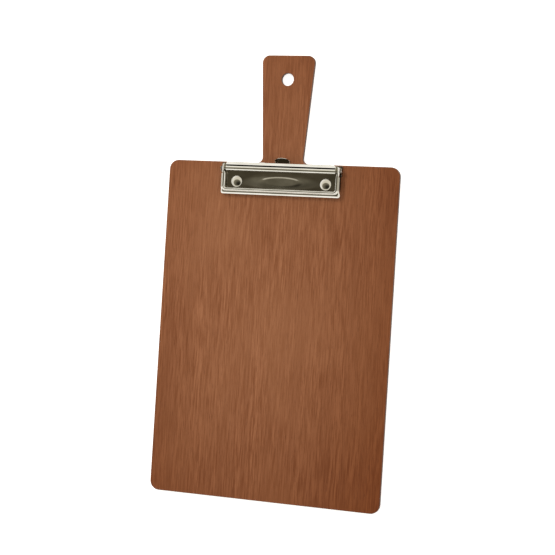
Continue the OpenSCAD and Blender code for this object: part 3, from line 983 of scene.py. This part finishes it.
def make_jaw(material):
    """One stamping: bead frame, lip, rolled barrel, thumb flap, end walls and the shoulders
    that join them to the arms."""
    cheek_x = ARM_X + CHEEK_OUT - CHEEK_R
    wall = end_wall("wall", WALL_X - SHEET, WALL_X, WALL_R, WALL_UNDER)
    shoulder = end_wall("shoulder", WALL_X - 0.2, cheek_x + 0.3, SHOULDER_R, SHOULDER_UNDER)
    parts = [sheet_metal("bead", bead_rows()), sheet_metal("lip", lip_rows()), make_lever()]
    parts += [wall, mirrored(wall, "wall_left"), shoulder, mirrored(shoulder, "shoulder_left")]
    jaw = join("clip_jaw", parts)
    return finish_piece(jaw, material, "jaw", "nickel_jaw", "clamp_jaw")


# ---------- hanging tab ----------

TAB_SHEET = 0.5
TAB_HEAD_L = 2
TAB_NECK_HALF = 7.3
TAB_ARCH_R = 13
TAB_RIM_W = 0.8
TAB_RIM_BACK = 3.2
# the rim's height where it starts, in parts of its full height, and the fillet at its foot
TAB_RIM_START = 0.35
TAB_RIM_FILLET = 0.4
EYE_Y = Y_TOP - 4
EYE_R = 2.5
# the pressed pip: its place from the middle and from the tip, radius and height
PIP_X, PIP_FROM_TIP = -4.2, 2.9
PIP_R, PIP_RISE = 0.95, 0.5


def tab_rim(low, top):
    """A round-topped wall, turned up along the arched tip and a little way down both sides."""
    tip, neck, wall = TAB_HIGH[1], TAB_NECK_HALF, TAB_RIM_W
    side = math.degrees(math.asin(neck / TAB_ARCH_R))
    arch_y = tip - TAB_ARCH_R
    corner_y = arch_y + TAB_ARCH_R * math.cos(math.radians(side))
    path = []
    for i in range(25):
        a = math.radians(90 - side + 2 * side * i / 24)
        path.append((TAB_ARCH_R * math.cos(a), arch_y + TAB_ARCH_R * math.sin(a),
                     math.cos(a), math.sin(a)))
    back, foot = tip - TAB_RIM_BACK, -wall - TAB_RIM_FILLET
    turned = math.radians(90 - side) / 2
    corner = (neck, corner_y, 1.0, math.tan(turned))
    path = [(neck, back, 1, 0), (neck, (back + corner_y) / 2, 1, 0), corner] + path[1:-1]
    path += [(-x, y, -nx, ny) for x, y, nx, ny in (corner, path[1], path[0])]
    rings = []
    for i, (x, y, nx, ny) in enumerate(path):
        ends = min(i, len(path) - 1 - i)
        grown = TAB_RIM_START + (1 - TAB_RIM_START) * blend_in(ends / 4)
        z = top + (TAB_HIGH[2] - wall / 2 - top) * grown
        section = [(0, low + 0.05), (0, z)] + arc(-wall / 2, z, wall / 2, 0, 180, 10)[1:]
        section += arc(foot, top + TAB_RIM_FILLET, TAB_RIM_FILLET, 0, -90, 5)
        section.append((foot, low + 0.05))
        rings.append([(x + nx * d, y + ny * d, h) for d, h in section])
    return weld(loft("rim", rings, closed_rings=True, caps=True))


def make_tab(material):
    """Flat slide with a stop at its inner end, an eye, a pressed pip and a rim round its tip."""
    low, top = TAB_LOW[2], TAB_LOW[2] + TAB_SHEET
    tip, tail, neck = TAB_HIGH[1], TAB_LOW[1], TAB_NECK_HALF
    side = math.degrees(math.asin(neck / TAB_ARCH_R))
    outline = [(-TAB_HIGH[0], tail), (TAB_HIGH[0], tail), (TAB_HIGH[0], tail + TAB_HEAD_L),
               (neck, tail + TAB_HEAD_L)]
    outline += arc(0, tip - TAB_ARCH_R, TAB_ARCH_R, 90 - side, 90 + side, 24)
    outline += [(-neck, tail + TAB_HEAD_L), (-TAB_HIGH[0], tail + TAB_HEAD_L)]
    eye = arc(0, EYE_Y, EYE_R, 360, 0, 32)[:-1]
    flat = plate("flat", [outline, eye], low, top, 0.1)
    dome = [(PIP_R * math.cos(math.radians(a)), PIP_RISE * math.sin(math.radians(a)))
            for a in range(0, 90, 11)]
    pip = [(AXIS_R, -0.2), (PIP_R, -0.2)] + dome + [(AXIS_R, PIP_RISE)]
    pip = lathe("pip", pip, (PIP_X, tip - PIP_FROM_TIP, top - 0.05), steps=32)
    tab = join("clip_hanging_tab", [flat, tab_rim(low, top), pip])
    return finish_piece(tab, material, "tab", "nickel_jaw", "hanging_tab")


# ---------- stage, light and camera ----------

# where the object's origin lies in the camera's own axes: right, up and toward the viewer
ORIGIN_IN_VIEW = (-0.909, -0.967, -1394.87)
VIEW_ROLL = math.radians(-3.575)
VIEW_TIP = math.radians(-0.109)
VIEW_TURN = math.radians(-18.902)
FOCAL_LENGTH = 95.56
SENSOR_WIDTH = 36

# the dark opening overhead, as x and y of the direction toward its middle, and its half size
OPENING_AT = (-0.14, -0.143)
OPENING_SIZE = (0.579, 0.493)
DARKEST_AT = (0.08, -0.32)
OPENING_DARK, OPENING_RIM = (0.020, 0.018, 0.012), (0.21, 0.19, 0.135)
HORIZON, ZENITH = (1.0, 0.98, 0.92), (0.68, 0.64, 0.53)
# where each blend starts and ends: in height from the horizon's colour to the zenith's, and in
# parts of the opening's size within the opening and at its border
SKY_BLEND = (0.30, 0.80)
OPENING_BLEND = (0.2, 1.5)
BORDER_BLEND = (0.92, 1.06)
SKY_STRENGTH = 1.15
FLOOR_HALF, FLOOR_DROP = 3000, 0.3
# the key light; its place and size are in metres
KEY_AT, KEY_SIZE, KEY_WATTS = (-0.9, 0.9, 1.1), 0.7, 12


def make_camera():
    """Camera at the viewing angle of the product shot."""
    camera = bpy.data.cameras.new("camera")
    camera.sensor_width = SENSOR_WIDTH
    camera.lens = FOCAL_LENGTH
    camera.clip_end = 20
    obj = link("camera", camera)
    turn = (Matrix.Rotation(VIEW_ROLL, 3, "Z") @ Matrix.Rotation(VIEW_TIP, 3, "X")
            @ Matrix.Rotation(VIEW_TURN, 3, "Y"))
    place = turn.transposed() @ -Vector(ORIGIN_IN_VIEW) * MM
    obj.matrix_world = Matrix.Translation(place) @ turn.transposed().to_4x4()
    bpy.context.scene.camera = obj


def make_world():
    """Bright studio, paler toward the horizon, with one dark opening overhead."""
    world = bpy.data.worlds.new("studio")
    bpy.context.scene.world = world
    world.use_nodes = True
    tree = world.node_tree

    def ramp(value, low, high):
        node = tree.nodes.new("ShaderNodeMapRange")
        node.interpolation_type = "SMOOTHSTEP"
        node.inputs["From Min"].default_value = low
        node.inputs["From Max"].default_value = high
        tree.links.new(value, node.inputs["Value"])
        return node.outputs["Result"]

    def mix(amount, a, b):
        node = tree.nodes.new("ShaderNodeMix")
        node.data_type = "RGBA"
        tree.links.new(amount, node.inputs["Factor"])
        for socket, value in ((node.inputs[6], a), (node.inputs[7], b)):
            if isinstance(value, tuple):
                socket.default_value = (*value, 1)
            else:
                tree.links.new(value, socket)
        return node.outputs[2]

    direction = tree.nodes.new("ShaderNodeTexCoord").outputs["Generated"]
    height = tree.nodes.new("ShaderNodeSeparateXYZ")
    tree.links.new(direction, height.inputs[0])

    def spread(middle, size):
        """How far a direction lies from a middle; 1 on the border of an oval of that size."""
        place = tree.nodes.new("ShaderNodeMapping")
        place.vector_type = "TEXTURE"
        place.inputs["Location"].default_value = (*middle, 0)
        place.inputs["Scale"].default_value = (*size, 1000)
        tree.links.new(direction, place.inputs["Vector"])
        length = tree.nodes.new("ShaderNodeVectorMath")
        length.operation = "LENGTH"
        tree.links.new(place.outputs["Vector"], length.inputs[0])
        return length.outputs["Value"]

    sky = mix(ramp(height.outputs["Z"], *SKY_BLEND), HORIZON, ZENITH)
    opening = mix(ramp(spread(DARKEST_AT, OPENING_SIZE), *OPENING_BLEND),
                  OPENING_DARK, OPENING_RIM)
    colour = mix(ramp(spread(OPENING_AT, OPENING_SIZE), *BORDER_BLEND), opening, sky)
    background = tree.nodes["Background"]
    background.inputs["Strength"].default_value = SKY_STRENGTH
    tree.links.new(colour, background.inputs["Color"])


def make_softbox(name, place, target, size, power):
    """A square area light that faces a point; lengths in metres."""
    light = bpy.data.lights.new(name, "AREA")
    light.shape = "SQUARE"
    light.size = size
    light.energy = power
    obj = link(name, light)
    obj.location = place
    obj.rotation_euler = (Vector(target) - Vector(place)).to_track_quat("-Z", "Y").to_euler()
    obj.visible_glossy = False


def make_stage():
    """Pale floor just under the back of the board."""
    corners = [(x * FLOOR_HALF, y * FLOOR_HALF, -FLOOR_DROP)
               for x, y in ((-1, -1), (1, -1), (1, 1), (-1, 1))]
    floor = mesh_piece("floor", corners, [(0, 1, 2, 3)])
    floor.data.materials.append(studio_floor())


# ---------- the scene ----------

# oval of the base plate left unshaded, outside which painted shade darkens the floor, and the
# places of painted shade and painted dark reflections on the jaw and the tab, as polished_nickel
# takes them
UNSHADED_OVAL = (LENS_Y - 1.8, 38, 6.4)
ARM_FOLD_Y = (Y_TOP - 17.6, 6.5)
# painted shade: a near-black line in the crease between barrel and flap
CREASE_PAINTED_SHADE = ((0, LEVER_HALF_W - 0.3), (CREASE_Y, 0.6), 0.25, (0.04, 0.036, 0.026))
# painted shade along the lower front of the barrel
BARREL_FRONT_PAINTED_SHADE = ((0, LEVER_HALF_W), (HINGE_Y - 2.5, 0.35), 0.2, SHADE_TINT)
# painted dark reflection over the flat of the hanging tab
TAB_PAINTED_REFLECTION = ((0, TAB_NECK_HALF - 0.6), (Y_TOP + 1.9, 1.9), 0.4, (0.12, 0.10, 0.07))
# painted shade on the shoulders at the ends of the lever
SHOULDER_PAINTED_SHADE = ((LEVER_HALF_W + 1.0, 0.8), (HINGE_Y + 0.8, 4), 0.5, (0.26, 0.24, 0.19))
# painted shade: a dark line in the hollow between each arm's bead and its side slope
ARM_INNER_PAINTED_SHADE = ((ARM_X - 0.45, 0.3), ARM_FOLD_Y, 1.0, (0.16, 0.15, 0.12))
# painted shade on the outer slope of each arm
ARM_OUTER_PAINTED_SHADE = ((ARM_X + 1.6, 1.0), ARM_FOLD_Y, 1.0, (0.56, 0.54, 0.50))
# painted dark reflection of the shaded board on each side wall
SIDE_WALL_PAINTED_REFLECTION = ((JAW_HIGH[0] - 0.6, 1.0), (Y_TOP - 16.4, 4.2), 4.2, (0.10, 0.08, 0.06))

wood = stained_wood()
plate_nickel = polished_nickel("nickel_plate", dark=(0.46, 0.44, 0.40), pale=(0.62, 0.60, 0.57),
                               rough=0.06, swell_depth=0.30, unshaded_oval=UNSHADED_OVAL)
jaw_nickel = polished_nickel("nickel_jaw", dark=(0.77, 0.76, 0.72), pale=(0.87, 0.86, 0.83),
                             rough=0.08, swell_depth=0.03,
                             painted_shade=[CREASE_PAINTED_SHADE, BARREL_FRONT_PAINTED_SHADE, TAB_PAINTED_REFLECTION,
                                    SHOULDER_PAINTED_SHADE, ARM_INNER_PAINTED_SHADE, ARM_OUTER_PAINTED_SHADE,
                                    SIDE_WALL_PAINTED_REFLECTION])
rivet_nickel = polished_nickel("nickel_rivet", dark=(0.72, 0.70, 0.66), pale=(0.84, 0.83, 0.80),
                               rough=0.04, swell_depth=0.02)
zinc = plain_steel("zinc_steel", scale=(900, 900, 900), detail=4, dark=(0.43, 0.43, 0.44),
                   pale=(0.60, 0.60, 0.58), rough=0.38, depth=0.01, strength=0.4)
spring_wire = plain_steel("spring_steel", scale=(3000, 700, 700), detail=3,
                          dark=(0.10, 0.10, 0.11), pale=(0.24, 0.24, 0.25), rough=0.4,
                          depth=0.008, strength=0.5)

make_board(wood)
make_base_plate(plate_nickel)
for side, word in ((-1, "left"), (1, "right")):
    make_rivet(f"{word}_rivet", side * RIVET_X, rivet_nickel, f"rivet_{word}")
    make_washer(f"{word}_washer", side * RIVET_X, zinc, f"rivet_washer_{word}")
    make_spring(f"{word}_spring", side, spring_wire, f"torsion_spring_{word}")
make_pin(zinc)
make_jaw(jaw_nickel)
make_tab(jaw_nickel)

make_stage()
make_camera()
make_world()
make_softbox("key_light", KEY_AT, (0, 0, 0), KEY_SIZE, KEY_WATTS)
bpy.context.scene.view_settings.view_transform = "Standard"
